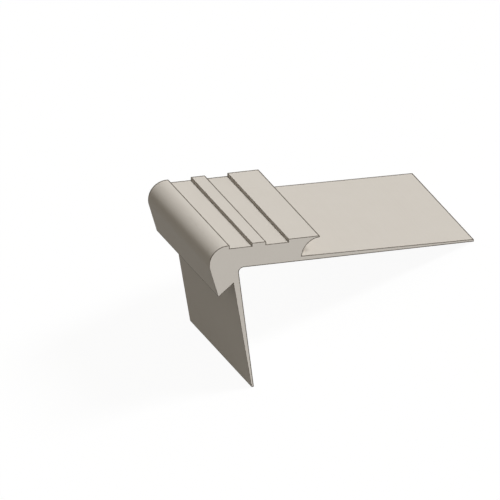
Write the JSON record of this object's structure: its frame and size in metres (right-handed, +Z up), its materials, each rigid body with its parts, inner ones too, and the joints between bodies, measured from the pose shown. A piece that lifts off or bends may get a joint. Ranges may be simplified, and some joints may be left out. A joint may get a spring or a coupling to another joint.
{
  "type": "stair nosing",
  "caption": "Extruded vinyl stair nosing: rounded grooved nose with an undercut lip, a toed-in riser flange and a thin tapering tread flange behind a cove.",
  "frame": {"origin": "centre of the bounding box in plan, on the level floor that the piece lies on", "axes": "+X from the nose towards the back edge of the tread flange, +Y along the extrusion, +Z up; the piece lies on the edges of its two flanges, so its top face slopes down by 29.1 degrees towards +X"},
  "size_m": [0.0824, 0.0618, 0.046],
  "materials": {
    "vinyl": "matte beige vinyl"
  },
  "bodies": {
    "root": {"stair_nosing": "vinyl"}
  },
  "joints": []
}
